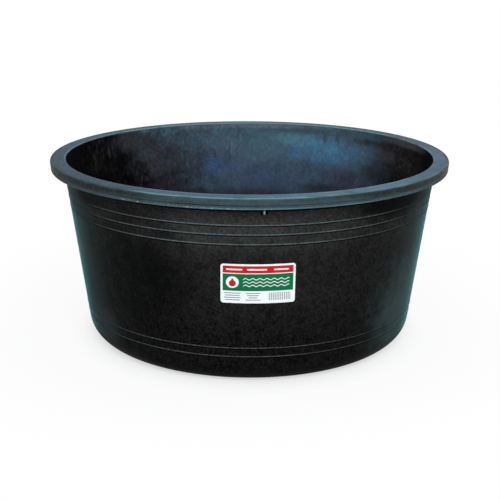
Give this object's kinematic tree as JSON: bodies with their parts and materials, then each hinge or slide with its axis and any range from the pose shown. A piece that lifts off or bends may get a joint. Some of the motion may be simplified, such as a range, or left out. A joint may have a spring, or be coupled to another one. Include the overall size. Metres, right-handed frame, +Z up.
{
  "type": "stock tank",
  "caption": "Low round stock tank for water or feed: a moulded black plastic tub with sloping wall, flat down-turned rim, raised lines round the wall and a paper sticker.",
  "frame": {"origin": "on the ground at the middle of the base, on the tub's axis", "axes": "+Z up along the tub's axis, from the ground to the mouth; -Y out of the front, where the sticker is; +X to the right of someone facing the sticker"},
  "size_m": [0.724, 0.724, 0.334],
  "materials": {
    "tub_plastic": "satin black moulded polyethylene with faint flow streaks",
    "label_paper": "smooth printed white sticker stock"
  },
  "bodies": {
    "root": {"tank_shell": "tub_plastic", "label": "label_paper"}
  },
  "joints": []
}
